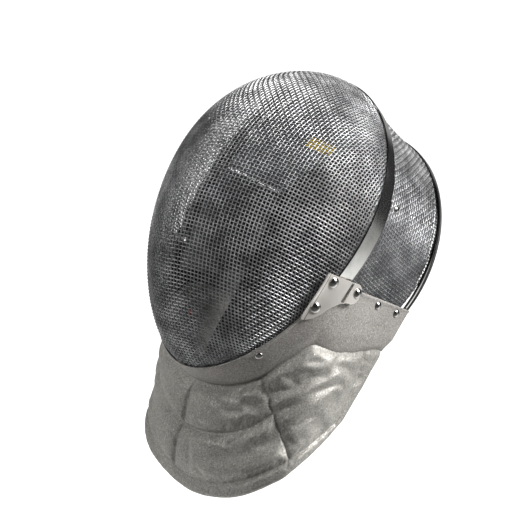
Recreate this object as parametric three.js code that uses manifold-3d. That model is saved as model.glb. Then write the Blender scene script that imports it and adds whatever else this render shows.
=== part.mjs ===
// Sabre fencing mask: a woven steel face cage and back cage joined by a polished side band,
// a silver cloth chin band with ear flaps, and a padded silver cloth bib.
// Millimetres, +Z up, -Y is the way the mask faces, +X is the wearer's left.
// The origin is where the crown of the head rests under the crown pad.
import * as THREE from 'three';
import { mergeVertices } from 'three/addons/utils/BufferGeometryUtils.js';
import Module from 'manifold-3d';

const wasm = await Module();
wasm.setup();

// Rim of the face opening: the plane every other size is measured from.
const RIM_HEIGHT = 289;
const RIM_HALF_WIDTH = 103.3;
const RIM_TAPER = 0.117;      // wider above the middle than below
const RIM_BOW = 11.5;         // how far the rim sits back at its widest points
const RIM_LEAN = 24;          // degrees the top of the rim leans back
const FACE_DEPTH = 102.2;     // how far the face cage stands out of the rim plane
const FACE_TILT = -29.1;      // degrees of that direction below the horizon
const FACE_SLIDE = -13;       // middle of the face cage, moved down along the rim
const FACE_ROUNDNESS = 1.468;
const CAGE_WALL = 1.6;
const SKIRT = 7;              // face cage wall running back under the bands

// Rear rim of the back cage, in the same plane coordinates.
const REAR_HALF_WIDTH = 102.2;
const REAR_TAPER = -0.039;
const REAR_MIDDLE = 33.5;
const REAR_HALF_HEIGHT = 110.8;
const REAR_BACK = 114.4;
const REAR_LEAN = 0.108;
const BACK_SINK = 2.6;        // how far the back cage dips between the side band and its rim

const STEEL = 0.8;
const STRIP_END = 103;        // degrees round the rim from its top to the end of the steel band
const STRIP_TOP_WIDTH = 11;
const STRIP_SIDE_WIDTH = 19;
const CLOTH = 1.4;
const FLAP_START = 104;       // degrees round the rim where the ear flap leaves it
const FLAP_SHARE = 0.68;      // share of the half band that follows the rim
const BIB_PAD = 5;            // padded thickness between the quilting lines
const BIB_EDGE = 2.6;         // thickness at the hem and along the quilting lines
const PAD = 8.5;
const GAP = 0.5;
const HEAD_SEAT = { rise: 126, back: 30 };

const rad = THREE.MathUtils.degToRad;
const riseAxis = new THREE.Vector3(0, Math.sin(rad(RIM_LEAN)), Math.cos(rad(RIM_LEAN)));
const backAxis = new THREE.Vector3(0, Math.cos(rad(RIM_LEAN)), -Math.sin(rad(RIM_LEAN)));
const seat = new THREE.Vector3().addScaledVector(riseAxis, HEAD_SEAT.rise)
  .addScaledVector(backAxis, HEAD_SEAT.back);

// A place given across the mask, up the rim plane and back from it.
const place = (across, rise, back) => new THREE.Vector3(across, 0, 0)
  .addScaledVector(riseAxis, rise).addScaledVector(backAxis, back).sub(seat);

const rimAt = (turn) => {
  const s = Math.sin(turn);
  const c = Math.cos(turn);
  return [RIM_HALF_WIDTH * s * (1 + RIM_TAPER * c), RIM_HEIGHT / 2 * c, RIM_BOW * s * s];
};

const rearAt = (turn) => {
  const s = Math.sin(turn);
  const c = Math.cos(turn);
  const rise = REAR_MIDDLE + REAR_HALF_HEIGHT * c;
  return [REAR_HALF_WIDTH * s * (1 + REAR_TAPER * c), rise, REAR_BACK - REAR_LEAN * rise];
};

const mix = (a, b, t) => a.map((value, i) => value + (b[i] - value) * t);

// Smooth reading of a table whose first column is the share along the curve.
function along(rows, share) {
  let i = 1;
  while (i < rows.length - 2 && rows[i + 1][0] < share) i += 1;
  if (share < rows[1][0]) i = 0;
  const [p1, p2] = [rows[i], rows[i + 1]];
  const p0 = rows[i - 1] ?? p1;
  const p3 = rows[i + 2] ?? p2;
  const step = p2[0] - p1[0];
  const t = (share - p1[0]) / step;
  return [1, 2, 3].map((k) => {
    const m1 = i > 0 ? (p2[k] - p0[k]) / (p2[0] - p0[0]) * step : k === 1 ? p2[k] - p1[k] : 0;
    const m2 = p3 === p2 ? p2[k] - p1[k] : (p3[k] - p1[k]) / (p3[0] - p1[0]) * step;
    return p1[k] * (2 * t ** 3 - 3 * t * t + 1) + m1 * (t ** 3 - 2 * t * t + t)
      + p2[k] * (3 * t * t - 2 * t ** 3) + m2 * (t ** 3 - t * t);
  });
}

// Lower edge of the chin band, which is also the top seam of the bib.
// columns: share from chin to back edge, across, rise, back
const BAND_LOW = [
  [0.00, 0, -146.5, 28],
  [0.17, 30, -142, 28.3],
  [0.34, 57, -127.6, 28.6],
  [0.51, 78, -106.5, 31],
  [0.68, 91, -86, 36.5],
  [0.79, 98, -67, 56],
  [0.90, 98.5, -57, 84],
  [1.00, 97, -53.5, 113],
];

// Hem of the bib, same columns.
const HEM = [
  [0.00, 0, -236.4, 81.4],
  [0.14, 22, -234, 81],
  [0.28, 45, -227.5, 77.8],
  [0.42, 66, -217.3, 73.8],
  [0.56, 83, -203, 74.3],
  [0.70, 93.5, -187.5, 79],
  [0.85, 97, -157, 93],
  [1.00, 97, -123.5, 106],
];
const FLAP_CORNER = [97, -9.1, 117.5];
const BIB_BELLY = 3.5;        // swell of the bib in front, and hollow at its sides
const BIB_SET_BACK = 5;       // drop of the bib seam below the edge of the chin band

const mirror = (point, side) => [side < 0 ? point[0] : -point[0], point[1], point[2]];

function bandTop(share) {
  const s = Math.abs(share);
  const corner = rimAt(rad(FLAP_START));
  const point = s <= FLAP_SHARE
    ? rimAt(rad(180 - (180 - FLAP_START) * s / FLAP_SHARE))
    : mix(corner, FLAP_CORNER, (s - FLAP_SHARE) / (1 - FLAP_SHARE));
  return mirror(point, share);
}

const bandLow = (share) => mirror(along(BAND_LOW, Math.abs(share)), share);
const hem = (share) => mirror(along(HEM, Math.abs(share)), share);

// Base surfaces, each a place for two shares.
const wall = (turn, depth) => {
  const front = rimAt(turn);
  const rear = rearAt(turn);
  const length = Math.hypot(...front.map((value, i) => rear[i] - value));
  const [across, rise, back] = mix(front, rear, depth / length);
  const sink = BACK_SINK * Math.sin(Math.PI * THREE.MathUtils.clamp(depth / length, 0, 1))
    * Math.max(Math.cos(turn), 0);
  return place(across - sink * Math.sin(turn), rise - sink * Math.cos(turn), back);
};
const wallLength = (turn) => {
  const front = rimAt(turn);
  return Math.hypot(...rearAt(turn).map((value, i) => value - front[i]));
};
const bandSurface = (share, drop) => place(...mix(bandTop(share), bandLow(share), drop));
const bibSurface = (share, drop) => {
  const top = bandLow(share);
  top[1] -= BIB_SET_BACK - (BIB_SET_BACK - 0.8) * THREE.MathUtils.smoothstep(Math.abs(share), 0.6, 0.85);
  const [across, rise, back] = mix(top, hem(share), drop);
  const belly = BIB_BELLY * Math.sin(Math.PI * drop) * Math.cos(4 * share);
  return place(across, rise - belly * 0.6, back - belly * 0.8);
};

function faceSurface(p, q) {
  const reach = Math.hypot(p, q);
  const turn = Math.atan2(p, q);
  const [across, rise, back] = rimAt(turn);
  if (reach > 1) {
    const under = THREE.MathUtils.smoothstep(-rise, 0, 60);
    return wall(turn, (reach - 1) * 100)
      .lerp(place(across, rise, back + (reach - 1) * 100), under);
  }
  const bend = Math.PI * reach / 2;
  const f = Math.sin(bend);
  const g = Math.max(Math.cos(bend), 0) ** (2 / FACE_ROUNDNESS) * FACE_DEPTH;
  const tilt = rad(FACE_TILT);
  return place(across * f, rise * f, back * f)
    .add(new THREE.Vector3(0, -Math.cos(tilt) * g, -Math.sin(tilt) * g))
    .addScaledVector(riseAxis, FACE_SLIDE * (1 - f));
}

const clean = (geometry) => {
  geometry.deleteAttribute('normal');
  geometry.deleteAttribute('uv');
  return mergeVertices(geometry, 1e-4);
};

// A sheet pressed onto a surface: inner and outer are distances along its normal.
function sheet(columns, rows, surface, inner, outer) {
  const geometry = clean(new THREE.BoxGeometry(1, 1, 1, columns, rows, 1));
  const position = geometry.attributes.position;
  const step = 1e-4;
  for (let i = 0; i < position.count; i += 1) {
    const u = position.getX(i) + 0.5;
    const v = position.getY(i) + 0.5;
    const w = position.getZ(i) + 0.5;
    const du = surface(u + step, v).sub(surface(u - step, v));
    const dv = surface(u, v + step).sub(surface(u, v - step));
    const normal = du.cross(dv).normalize();
    const low = typeof inner === 'function' ? inner(u, v) : inner;
    const high = typeof outer === 'function' ? outer(u, v) : outer;
    const point = surface(u, v).addScaledVector(normal, low + (high - low) * w);
    position.setXYZ(i, point.x, point.y, point.z);
  }
  return geometry;
}

// A disc pressed onto the face surface, with a short skirt behind the rim.
function pressedDisc(rings, segments) {
  const reaches = [];
  for (let i = 0; i <= rings; i += 1) reaches.push(i / rings);
  reaches.push(1 + SKIRT / 200, 1 + SKIRT / 100);
  const profile = [
    ...reaches.map((reach) => new THREE.Vector2(reach, 0)),
    ...reaches.slice().reverse().map((reach) => new THREE.Vector2(reach, 1)),
  ];
  profile[0].x = 0;
  const geometry = clean(new THREE.LatheGeometry(profile, segments));
  const position = geometry.attributes.position;
  const step = 1e-3;
  for (let i = 0; i < position.count; i += 1) {
    const p = position.getX(i);
    const q = position.getZ(i);
    const w = position.getY(i);
    const dp = faceSurface(p + step, q).sub(faceSurface(p - step, q));
    const dq = faceSurface(p, q + step).sub(faceSurface(p, q - step));
    const normal = dq.cross(dp).normalize();
    const point = faceSurface(p, q).addScaledVector(normal, CAGE_WALL * (w - 0.5));
    position.setXYZ(i, point.x, point.y, point.z);
  }
  return geometry;
}

const solids = new THREE.Group();
solids.name = 'fencing_mask';

function add(name, geometry, color, roughness = 0.6, metalness = 0) {
  const material = new THREE.MeshStandardMaterial({ color, roughness, metalness });
  const mesh = new THREE.Mesh(geometry, material);
  mesh.name = name;
  solids.add(mesh);
}

const signed = (u) => 2 * u - 1;

// Face cage and back cage.
add('mesh_front', pressedDisc(12, 44), 0x9a9a9a, 0.4, 0.9);

const stripWidth = (turn) => {
  const t = THREE.MathUtils.smoothstep(Math.cos(turn), 0.1, 0.85);
  return STRIP_SIDE_WIDTH + (STRIP_TOP_WIDTH - STRIP_SIDE_WIDTH) * t;
};
const backCageEnd = (v) => rad(110 + 8 * v);
const backCage = (u, v) => {
  const turn = signed(u) * backCageEnd(v);
  const start = SKIRT + 1;
  return wall(turn, start + (wallLength(turn) - start) * v);
};
add('mesh_back', sheet(36, 5, backCage, -CAGE_WALL / 2, CAGE_WALL / 2), 0x9a9a9a, 0.4, 0.9);

// Polished band over the crown and down to the brackets.
const skin = CAGE_WALL / 2 + GAP;
const sideBand = (u, v) => {
  const turn = signed(u) * rad(STRIP_END);
  return wall(turn, stripWidth(turn) * v);
};
add('side_band', sheet(48, 1, sideBand, skin, skin + STEEL), 0xb8b8b4, 0.2, 1);

// Rear rim strip and its dark edging.
const REAR_STRIP_WIDTH = 5;
const rearStrip = (u, v) => {
  const turn = signed(u) * rad(115);
  return wall(turn, wallLength(turn) - REAR_STRIP_WIDTH * (1 - v));
};
add('rear_rim', sheet(48, 1, rearStrip, skin, skin + STEEL), 0xb8b8b4, 0.25, 1);

const EDGING_RADIUS = 2;
const edgingPath = new THREE.CatmullRomCurve3(
  Array.from({ length: 41 }, (_, i) => {
    const turn = rad(-115 + 230 * i / 40);
    const pull = 0.6;
    const centre = wall(turn, wallLength(turn) + EDGING_RADIUS + GAP);
    const inward = place(0, REAR_MIDDLE, rearAt(turn)[2]).sub(centre).normalize();
    return centre.addScaledVector(inward, pull);
  }),
);
const disc = new THREE.Shape();
disc.absarc(0, 0, EDGING_RADIUS, 0, Math.PI * 2);
add('rear_edging', clean(new THREE.ExtrudeGeometry(disc, {
  steps: 48, curveSegments: 4, bevelEnabled: false, extrudePath: edgingPath,
})), 0x1c1c1e, 0.6);

// Chin band with its two ear flaps, one cloth piece.
add('chin_band', sheet(50, 2, (u, v) => bandSurface(signed(u), v), skin, skin + CLOTH),
  0xa39d94, 0.7, 0.3);

// Quilting lines of the bib, as shares of its width and height.
const BIB_COLUMNS = 36;
const BIB_ROWS = 15;
const SEAM_ACROSS = 16 / BIB_COLUMNS;
const SEAM_DROP = 7 / BIB_ROWS;
const HEM_BORDER = 2 / BIB_ROWS;
const SIDE_BORDER = 2 / BIB_COLUMNS;
const SEAM_REACH = 0.045;
function bibLoft(u, v) {
  const share = signed(u);
  const fromSide = Math.min(Math.abs(share - SEAM_ACROSS), Math.abs(share + SEAM_ACROSS));
  const fromMiddle = Math.abs(v - SEAM_DROP) * 0.7;
  const fromHem = Math.min(Math.abs(v - (1 - HEM_BORDER)) * 0.7,
    Math.abs(Math.abs(share) - (1 - SIDE_BORDER)));
  const near = Math.min(fromSide, fromMiddle, fromHem) / SEAM_REACH;
  const inBorder = v > 1 - HEM_BORDER || Math.abs(share) > 1 - SIDE_BORDER;
  const full = inBorder ? BIB_EDGE + 1 : BIB_PAD;
  return BIB_EDGE + (full - BIB_EDGE) * Math.min(1, near);
}
const bib = (u, v) => bibSurface(signed(u), v);
add('bib', sheet(BIB_COLUMNS, BIB_ROWS, bib, -BIB_PAD, (u, v) => bibLoft(u, v) - BIB_PAD),
  0xa39d94, 0.7, 0.3);

// Lining pads inside the cages.
const liner = (from, to, start, stop) => (u, v) => {
  const turn = rad(from + (to - from) * u);
  return wall(turn, start + (wallLength(turn) - start - stop) * v);
};
const padInner = -(CAGE_WALL / 2 + 1.6 + PAD);
const padOuter = -(CAGE_WALL / 2 + 1.6);
add('crown_pad', sheet(20, 3, liner(-70, 70, 9, 1.5), padInner, padOuter), 0x8e949c, 0.9);
add('side_pad_left', sheet(7, 3, liner(71, 118, 9, 1.5), padInner, padOuter), 0x4a4b4e, 0.9);
add('side_pad_right', sheet(7, 3, liner(-118, -71, 9, 1.5), padInner, padOuter), 0x4a4b4e, 0.9);

const chinPad = (u, v) => {
  const turn = rad(128 + 104 * u);
  const [across, rise, back] = rimAt(turn);
  return place(across, rise, back + SKIRT * 0.2 + 34 * v);
};
add('chin_pad', sheet(20, 2, chinPad, padInner, padOuter), 0x8a8380, 0.9);

// Padded back of the lining: a rounded panel across the rear opening, curved round the head.
// columns: share from top to bottom, half width, rise, back
const BACK_PAD = [
  [0.00, 10, 130.8, 96.5],
  [0.10, 43, 117.5, 99.8],
  [0.25, 74, 84, 102.3],
  [0.42, 85, 36, 104],
  [0.58, 78.5, -10, 104],
  [0.72, 78.5, -50, 104],
  [0.88, 80, -100, 104],
  [0.97, 76, -126, 104],
  [1.00, 64, -132, 104],
];
const BACK_PAD_THICK = 7;
const BACK_PAD_CURVE = 0.0014;
const backPad = (u, v) => {
  const [halfWidth, rise, back] = along(BACK_PAD, 1 - v);
  const across = halfWidth * signed(u);
  return place(across, rise, back - BACK_PAD_CURVE * across * across);
};
add('back_pad', sheet(10, 12, backPad, -BACK_PAD_THICK, 0), 0x3a3b3e, 0.9);

// Small cloth patches sewn to the pads.
const LABEL = { turn: -35, depth: 71.5, length: 29, width: 12, slant: 14, radius: 102 };
const label = (u, v) => {
  const [wide, long] = [LABEL.width * (u - 0.5), LABEL.length * (v - 0.5)];
  const [c, s] = [Math.cos(rad(LABEL.slant)), Math.sin(rad(LABEL.slant))];
  return wall(rad(LABEL.turn) + (wide * c + long * s) / LABEL.radius, LABEL.depth + long * c - wide * s);
};
const TAG = { from: 0.937, across: 0.026, start: 0.72, deep: 0.15 };
const tag = (u, v) => chinPad(TAG.from + TAG.across * u, TAG.start + TAG.deep * v);
const patchInner = padInner - GAP - 0.6;
add('label_patch', sheet(2, 2, label, patchInner, padInner - GAP), 0xd2a526, 0.8);
add('tag_red', sheet(1, 1, tag, patchInner, padInner - GAP), 0x9c3038, 0.8);

// Brackets: a bent plate over the end of the steel band and the corner of the cloth band.
const PLATE = 1.2;
const PLATE_LIFT = skin + CLOTH + GAP + 0.7;
const BRACKET_OUTLINE = [
  // back, rise
  [-4, -32.5], [5, -70.5], [7.5, -73.5], [12, -72], [17, -65.5], [21, -55], [26, -47.5],
  [33, -43.5], [39, -41], [43, -37], [44.5, -31.5], [43, -26.5], [38.5, -24.6], [26, -26.8],
];
const SLOT = { back: 26.6, top: -28.6, bottom: -44.6, width: 2.6 };

function bracketBase(back, rise) {
  const turn = Math.acos(THREE.MathUtils.clamp(rise / (RIM_HEIGHT / 2), -1, 1));
  const [front] = rimAt(turn);
  const rear = 100.2 - 0.0016 * (rise + 30) ** 2;
  return front + (rear - front) * THREE.MathUtils.smoothstep(back, 2, 36);
}

// Box of a polygon drawn in the rim's side view, as a prism across the mask.
function sidePrism(outline, from, to) {
  const shape = new THREE.Shape(outline.map(([back, rise]) => new THREE.Vector2(back, rise)));
  const geometry = clean(new THREE.ExtrudeGeometry(shape, { depth: to - from, bevelEnabled: false }));
  const position = geometry.attributes.position;
  for (let i = 0; i < position.count; i += 1) {
    const point = place(position.getZ(i) + from, position.getY(i), position.getX(i));
    position.setXYZ(i, point.x, point.y, point.z);
  }
  return geometry;
}

const flip = (geometry) => {
  const index = geometry.index.array;
  for (let i = 0; i < index.length; i += 3) {
    [index[i], index[i + 1]] = [index[i + 1], index[i]];
  }
  return geometry;
};

const toManifold = (geometry) => {
  const mesh = new wasm.Mesh({
    numProp: 3,
    vertProperties: new Float32Array(geometry.attributes.position.array),
    triVerts: new Uint32Array(geometry.index.array),
  });
  mesh.merge();
  return new wasm.Manifold(mesh);
};

const fromManifold = (manifold) => {
  const mesh = manifold.getMesh();
  const geometry = new THREE.BufferGeometry();
  geometry.setAttribute('position', new THREE.BufferAttribute(mesh.vertProperties, 3));
  geometry.setIndex(new THREE.BufferAttribute(mesh.triVerts, 1));
  return geometry;
};

const otherSide = (geometry) => {
  const copy = geometry.clone();
  copy.scale(-1, 1, 1);
  return flip(copy);
};

const plateSurface = (u, v) => {
  const back = -8 + 62 * u;
  const rise = -80 + 62 * v;
  return place(bracketBase(back, rise), rise, back);
};
const plateSlab = toManifold(sheet(10, 12, plateSurface, PLATE_LIFT, PLATE_LIFT + PLATE));
const slotBox = ({ back, top, bottom, width }) => [
  [back - width / 2, bottom], [back + width / 2, bottom],
  [back + width / 2, top], [back - width / 2, top],
];
const bracket = fromManifold(plateSlab
  .intersect(toManifold(sidePrism(BRACKET_OUTLINE, 60, 130)))
  .subtract(toManifold(sidePrism(slotBox(SLOT), 60, 130))));
add('bracket_left', bracket, 0xb4b0aa, 0.35, 0.9);
add('bracket_right', otherSide(bracket), 0xb4b0aa, 0.35, 0.9);

// Brown insert lying in each slot.
const insertBox = slotBox({
  back: SLOT.back, top: SLOT.top - GAP, bottom: SLOT.bottom + GAP, width: SLOT.width - 2 * GAP,
});
const insertSlab = toManifold(sheet(10, 12, plateSurface, PLATE_LIFT - 0.2, PLATE_LIFT + 0.5));
const insert = fromManifold(insertSlab.intersect(toManifold(sidePrism(insertBox, 60, 130))));
add('slot_insert_left', insert, 0x54463a, 0.8);
add('slot_insert_right', otherSide(insert), 0x54463a, 0.8);

// Domed rivets and studs, each standing on the surface below it.
function rivetGeometry(radius, height) {
  const profile = [new THREE.Vector2(0, 0), new THREE.Vector2(radius * 0.94, 0)];
  for (let i = 0; i <= 3; i += 1) {
    const a = i / 3 * Math.PI / 2;
    profile.push(new THREE.Vector2(radius * Math.cos(a) ** 0.8, 0.3 + (height - 0.3) * Math.sin(a)));
  }
  profile[profile.length - 1].x = 0;
  return clean(new THREE.LatheGeometry(profile, 14));
}

// The place and normal of a surface where it has the given rise and back.
function standOn(surface, start, rise, back) {
  const wanted = place(0, rise, back);
  let [u, v] = start;
  const step = 1e-3;
  const off = (point) => {
    const gap = point.clone().sub(wanted);
    return [gap.dot(riseAxis), gap.dot(backAxis)];
  };
  for (let i = 0; i < 25; i += 1) {
    const base = off(surface(u, v));
    const du = off(surface(u + step, v)).map((value, k) => (value - base[k]) / step);
    const dv = off(surface(u, v + step)).map((value, k) => (value - base[k]) / step);
    const det = du[0] * dv[1] - du[1] * dv[0];
    u -= (base[0] * dv[1] - base[1] * dv[0]) / det;
    v -= (du[0] * base[1] - du[1] * base[0]) / det;
  }
  const du = surface(u + step, v).sub(surface(u - step, v));
  const dv = surface(u, v + step).sub(surface(u, v - step));
  return { point: surface(u, v), normal: du.cross(dv).normalize() };
}

const onBand = (u, v) => bandSurface(signed(u), v);
const onBackCage = backCage;
const plateTop = PLATE_LIFT + PLATE + GAP + 0.3;
const bandLift = skin + CLOTH + GAP;
const cageLift = CAGE_WALL / 2 + GAP;
const RIVETS = [
  // name, surface, start, rise, back, lift, radius, height
  ['rivet_plate_upper', plateSurface, [0.3, 0.6], -36.4, 7.4, plateTop, 4.7, 2.6],
  ['rivet_plate_lower', plateSurface, [0.3, 0.3], -60.4, 10, plateTop, 4.7, 2.6],
  ['rivet_plate_rear', plateSurface, [0.8, 0.8], -31.8, 36.2, plateTop, 4.5, 2.4],
  ['rivet_flap_front', onBand, [0.06, 0.2], -25.6, 74.4, bandLift, 3.6, 1.8],
  ['rivet_flap_rear', onBand, [0.02, 0.2], -19.5, 101.8, bandLift, 3.6, 1.8],
  ['rivet_chin', onBand, [0.28, 0.3], -114, 11, bandLift, 3.4, 1.5],
  ['stud_back', onBackCage, [0.75, 0.3], 50.5, 38.4, cageLift, 3.2, 1.6],
];
for (const [name, surface, start, rise, back, lift, radius, height] of RIVETS) {
  const { point, normal } = standOn(surface, start, rise, back);
  const geometry = rivetGeometry(radius, height);
  const turn = new THREE.Quaternion().setFromUnitVectors(new THREE.Vector3(0, 1, 0), normal);
  geometry.applyQuaternion(turn);
  geometry.translate(...point.addScaledVector(normal, lift).toArray());
  add(`${name}_left`, geometry, 0xa8a6a2, 0.25, 1);
  add(`${name}_right`, otherSide(geometry), 0xa8a6a2, 0.25, 1);
}

export default solids;
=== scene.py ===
# Sabre fencing mask: woven wire cages, polished band, cloth chin band and quilted bib.
from math import cos, pi, radians, sin

import bmesh
import bpy
import numpy as np
from mathutils import Matrix, Vector, noise


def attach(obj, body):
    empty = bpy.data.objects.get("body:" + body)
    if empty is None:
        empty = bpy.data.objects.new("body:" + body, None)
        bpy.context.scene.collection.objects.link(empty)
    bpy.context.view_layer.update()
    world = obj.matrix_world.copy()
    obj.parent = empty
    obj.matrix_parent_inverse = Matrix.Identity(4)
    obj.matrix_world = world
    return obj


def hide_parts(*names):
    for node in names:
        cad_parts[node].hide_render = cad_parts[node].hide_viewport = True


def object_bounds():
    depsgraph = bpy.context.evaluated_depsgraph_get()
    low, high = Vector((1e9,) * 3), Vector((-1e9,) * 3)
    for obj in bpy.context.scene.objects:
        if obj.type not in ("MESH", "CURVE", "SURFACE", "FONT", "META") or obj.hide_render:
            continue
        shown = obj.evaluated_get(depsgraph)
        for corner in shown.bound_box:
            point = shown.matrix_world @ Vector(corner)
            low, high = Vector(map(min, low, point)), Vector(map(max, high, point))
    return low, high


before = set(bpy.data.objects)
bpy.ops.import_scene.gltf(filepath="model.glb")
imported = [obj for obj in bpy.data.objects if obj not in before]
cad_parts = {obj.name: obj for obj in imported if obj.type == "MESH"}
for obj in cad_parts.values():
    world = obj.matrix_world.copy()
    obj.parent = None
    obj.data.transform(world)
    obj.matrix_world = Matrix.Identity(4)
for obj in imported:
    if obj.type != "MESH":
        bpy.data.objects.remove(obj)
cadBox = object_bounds()
scene = bpy.context.scene
mm = 0.001

# The mask's own surfaces, in millimetres across, up the rim plane and back from it.
shell = {
    "rimHeight": 289, "rimHalfWidth": 103.3, "rimTaper": 0.117, "rimBow": 11.5, "rimLean": 24,
    "faceDepth": 102.2, "faceTilt": -29.1, "faceSlide": -13, "faceRoundness": 1.468,
    "rearHalfWidth": 102.2, "rearTaper": -0.039, "rearMiddle": 33.5, "rearHalfHeight": 110.8,
    "rearBack": 114.4, "rearLean": 0.108, "backSink": 2.6, "wall": 1.6, "skirtTurn": 60,
    "seatRise": 126, "seatBack": 30,
}
lean = radians(shell["rimLean"])
acrossAxis = np.array([1.0, 0, 0])
riseAxis = np.array([0, sin(lean), cos(lean)])
backAxis = np.array([0, cos(lean), -sin(lean)])
seat = riseAxis * shell["seatRise"] + backAxis * shell["seatBack"]


def place(across, rise, back):
    across, rise, back = (x[..., None] for x in np.broadcast_arrays(across, rise, back))
    return (across * acrossAxis + rise * riseAxis + back * backAxis - seat) * mm


def smooth(value, low, high):
    t = np.clip((value - low) / (high - low), 0, 1)
    return t * t * (3 - 2 * t)


def rimAt(turn):
    s, c = np.sin(turn), np.cos(turn)
    across = shell["rimHalfWidth"] * s * (1 + shell["rimTaper"] * c)
    return np.stack([across, shell["rimHeight"] / 2 * c, shell["rimBow"] * s * s], -1)


def rearAt(turn):
    s, c = np.sin(turn), np.cos(turn)
    rise = shell["rearMiddle"] + shell["rearHalfHeight"] * c
    across = shell["rearHalfWidth"] * s * (1 + shell["rearTaper"] * c)
    return np.stack([across, rise, shell["rearBack"] - shell["rearLean"] * rise], -1)


def wallLength(turn):
    return np.linalg.norm(rearAt(turn) - rimAt(turn), axis=-1)


def wallSurface(turn, depth):  # the side wall, from the rim to the rear rim
    turn, depth = np.broadcast_arrays(np.asarray(turn, float), np.asarray(depth, float))
    share = depth / wallLength(turn)
    across, rise, back = np.moveaxis(rimAt(turn) + (rearAt(turn) - rimAt(turn)) * share[..., None], -1, 0)
    sink = shell["backSink"] * np.sin(pi * np.clip(share, 0, 1)) * np.maximum(np.cos(turn), 0)
    return place(across - sink * np.sin(turn), rise - sink * np.cos(turn), back)


def faceSurface(up, side):  # the domed face, 1 at the rim
    up, side = np.broadcast_arrays(np.asarray(up, float), np.asarray(side, float))
    reach, turn = np.hypot(up, side), np.arctan2(side, up)
    across, rise, back = np.moveaxis(rimAt(turn), -1, 0)
    bend = np.minimum(reach, 1) * pi / 2
    f = np.sin(bend)
    g = np.maximum(np.cos(bend), 0) ** (2 / shell["faceRoundness"]) * shell["faceDepth"]
    tilt = radians(shell["faceTilt"])
    dome = place(across * f, rise * f + shell["faceSlide"] * (1 - f), back * f)
    dome = dome + g[..., None] * np.array([0, -cos(tilt), -sin(tilt)]) * mm
    past = (np.maximum(reach, 1) - 1) * 100
    straight = place(across, rise, back + past)
    under = smooth(-rise, 0, shell["skirtTurn"])[..., None]
    skirt = wallSurface(turn, past) * (1 - under) + straight * under
    return np.where((reach > 1)[..., None], skirt, dome)


# Lower edge of the chin band and hem of the bib.
# share from chin to back edge, across, rise, back
bandLow = np.array([
    [0.00, 0, -146.5, 28],
    [0.17, 30, -142, 28.3],
    [0.34, 57, -127.6, 28.6],
    [0.51, 78, -106.5, 31],
    [0.68, 91, -86, 36.5],
    [0.79, 98, -67, 56],
    [0.90, 98.5, -57, 84],
    [1.00, 97, -53.5, 113],
])
hemLine = np.array([
    [0.00, 0, -236.4, 81.4],
    [0.14, 22, -234, 81],
    [0.28, 45, -227.5, 77.8],
    [0.42, 66, -217.3, 73.8],
    [0.56, 83, -203, 74.3],
    [0.70, 93.5, -187.5, 79],
    [0.85, 97, -157, 93],
    [1.00, 97, -123.5, 106],
])
flap = {"corner": (97, -9.1, 117.5), "start": 104, "share": 0.68, "setBack": 5, "belly": 3.5,
        "sideFrom": (0.6, 0.85), "sideBack": 0.8}
bandFall = {"deep": 0.14, "from": (0.66, 0.8), "until": (0.86, 1)}  # shares where the lower edge drops


def sided(point, share):  # a negative share lies on the wearer's left
    point[..., 0] = np.where(np.asarray(share) < 0, point[..., 0], -point[..., 0])
    return point


def along(rows, share):  # smooth reading of a table, mirrored for a negative share
    at, points = rows[:, 0], rows[:, 1:]
    slope = np.empty_like(points)
    slope[1:-1] = (points[2:] - points[:-2]) / (at[2:] - at[:-2])[:, None]
    slope[-1] = (points[-1] - points[-2]) / (at[-1] - at[-2])
    slope[0] = [(points[1, 0] - points[0, 0]) / at[1], 0, 0]
    s = np.abs(share)
    i = np.clip(np.searchsorted(at, s, side="right") - 1, 0, len(at) - 2)
    step = (at[i + 1] - at[i])[..., None]
    t = (s - at[i])[..., None] / step
    point = (points[i] * (2 * t**3 - 3 * t * t + 1) + slope[i] * step * (t**3 - 2 * t * t + t)
             + points[i + 1] * (3 * t * t - 2 * t**3) + slope[i + 1] * step * (t**3 - t * t))
    return sided(point, share)


def bandTop(share):
    s = np.abs(share)
    turn = radians(180) - radians(180 - flap["start"]) * np.minimum(s / flap["share"], 1)
    point = rimAt(turn)
    past = np.clip((s - flap["share"]) / (1 - flap["share"]), 0, None)[..., None]
    point = point + (np.array(flap["corner"]) - point) * past
    return sided(point, share)


def bandReach(share):  # how far down the bib the band's edge lies, as a drop
    s = np.abs(share)
    return bandFall["deep"] * smooth(s, *bandFall["from"]) * (1 - smooth(s, *bandFall["until"]))


def bandSurface(share, drop):
    share, drop = np.broadcast_arrays(np.asarray(share, float), np.asarray(drop, float))
    low = along(bandLow, share)
    low = low + (along(hemLine, share) - low) * bandReach(share)[..., None]
    point = bandTop(share) + (low - bandTop(share)) * drop[..., None]
    return place(*np.moveaxis(point, -1, 0))


def bibSurface(share, drop):
    share, drop = np.broadcast_arrays(np.asarray(share, float), np.asarray(drop, float))
    top = along(bandLow, share)
    side = smooth(np.abs(share), *flap["sideFrom"])
    top[..., 1] -= flap["setBack"] - (flap["setBack"] - flap["sideBack"]) * side
    point = top + (along(hemLine, share) - top) * drop[..., None]
    belly = flap["belly"] * np.sin(pi * drop) * np.cos(4 * share)
    return place(point[..., 0], point[..., 1] - belly * 0.6, point[..., 2] - belly * 0.8)


def outward(surface, u, v, step=1e-3):
    normal = np.cross(surface(u + step, v) - surface(u - step, v),
                      surface(u, v + step) - surface(u, v - step))
    return normal / np.linalg.norm(normal, axis=-1, keepdims=True)


def lifted(surface, u, v, lift):  # points off the surface, lift in millimetres or a function that gives it
    lift = lift(u, v) if callable(lift) else lift
    return surface(u, v) + outward(surface, u, v) * (np.asarray(lift) * mm)[..., None]


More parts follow.
